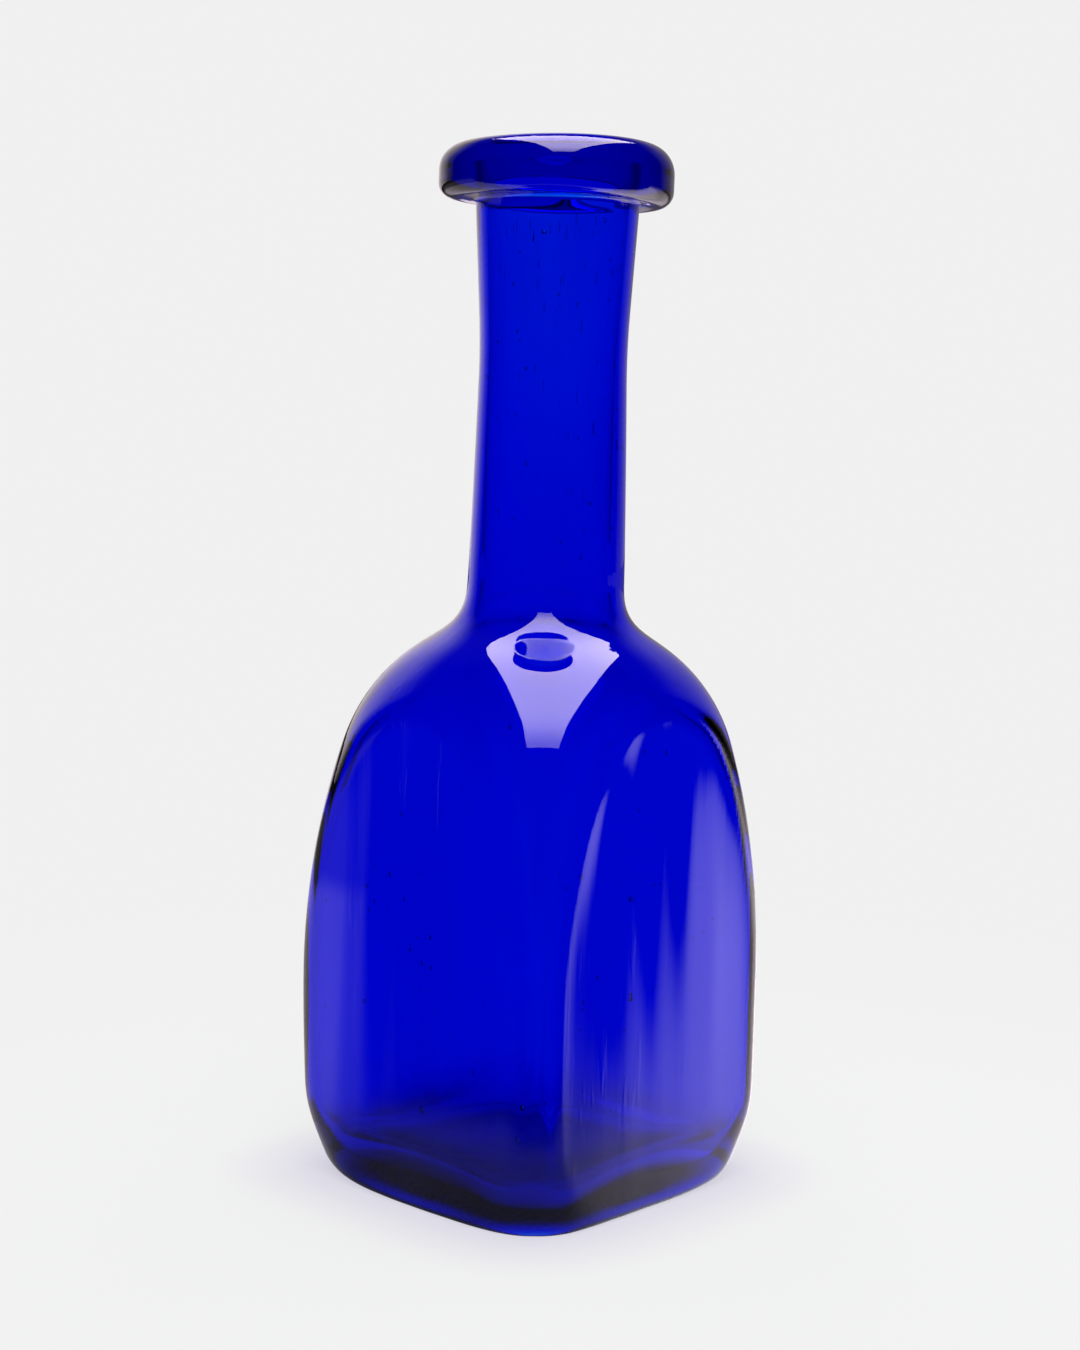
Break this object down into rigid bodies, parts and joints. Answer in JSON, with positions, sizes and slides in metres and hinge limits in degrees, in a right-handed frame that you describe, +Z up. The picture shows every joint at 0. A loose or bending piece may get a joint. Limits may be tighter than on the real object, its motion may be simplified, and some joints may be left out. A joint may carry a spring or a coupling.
{
  "type": "glass bottle",
  "caption": "Square blown-glass bottle with pressed flat sides, a domed shoulder, a long round neck and a thick applied lip ring around an open mouth.",
  "frame": {"origin": "middle of the base, on the surface that the bottle stands on", "axes": "+Z up; the pressed flat sides face -X, +X, -Y and +Y; the axis of the bulb, neck and lip leans 0.65 degrees from +Z towards +X +Y"},
  "size_m": [0.0836, 0.0836, 0.2497],
  "materials": {
    "cobalt_glass": "fire-polished, with seeds and fine upright chill marks"
  },
  "bodies": {
    "root": {"bottle_body": "cobalt_glass", "lip_ring": "cobalt_glass"}
  },
  "joints": []
}
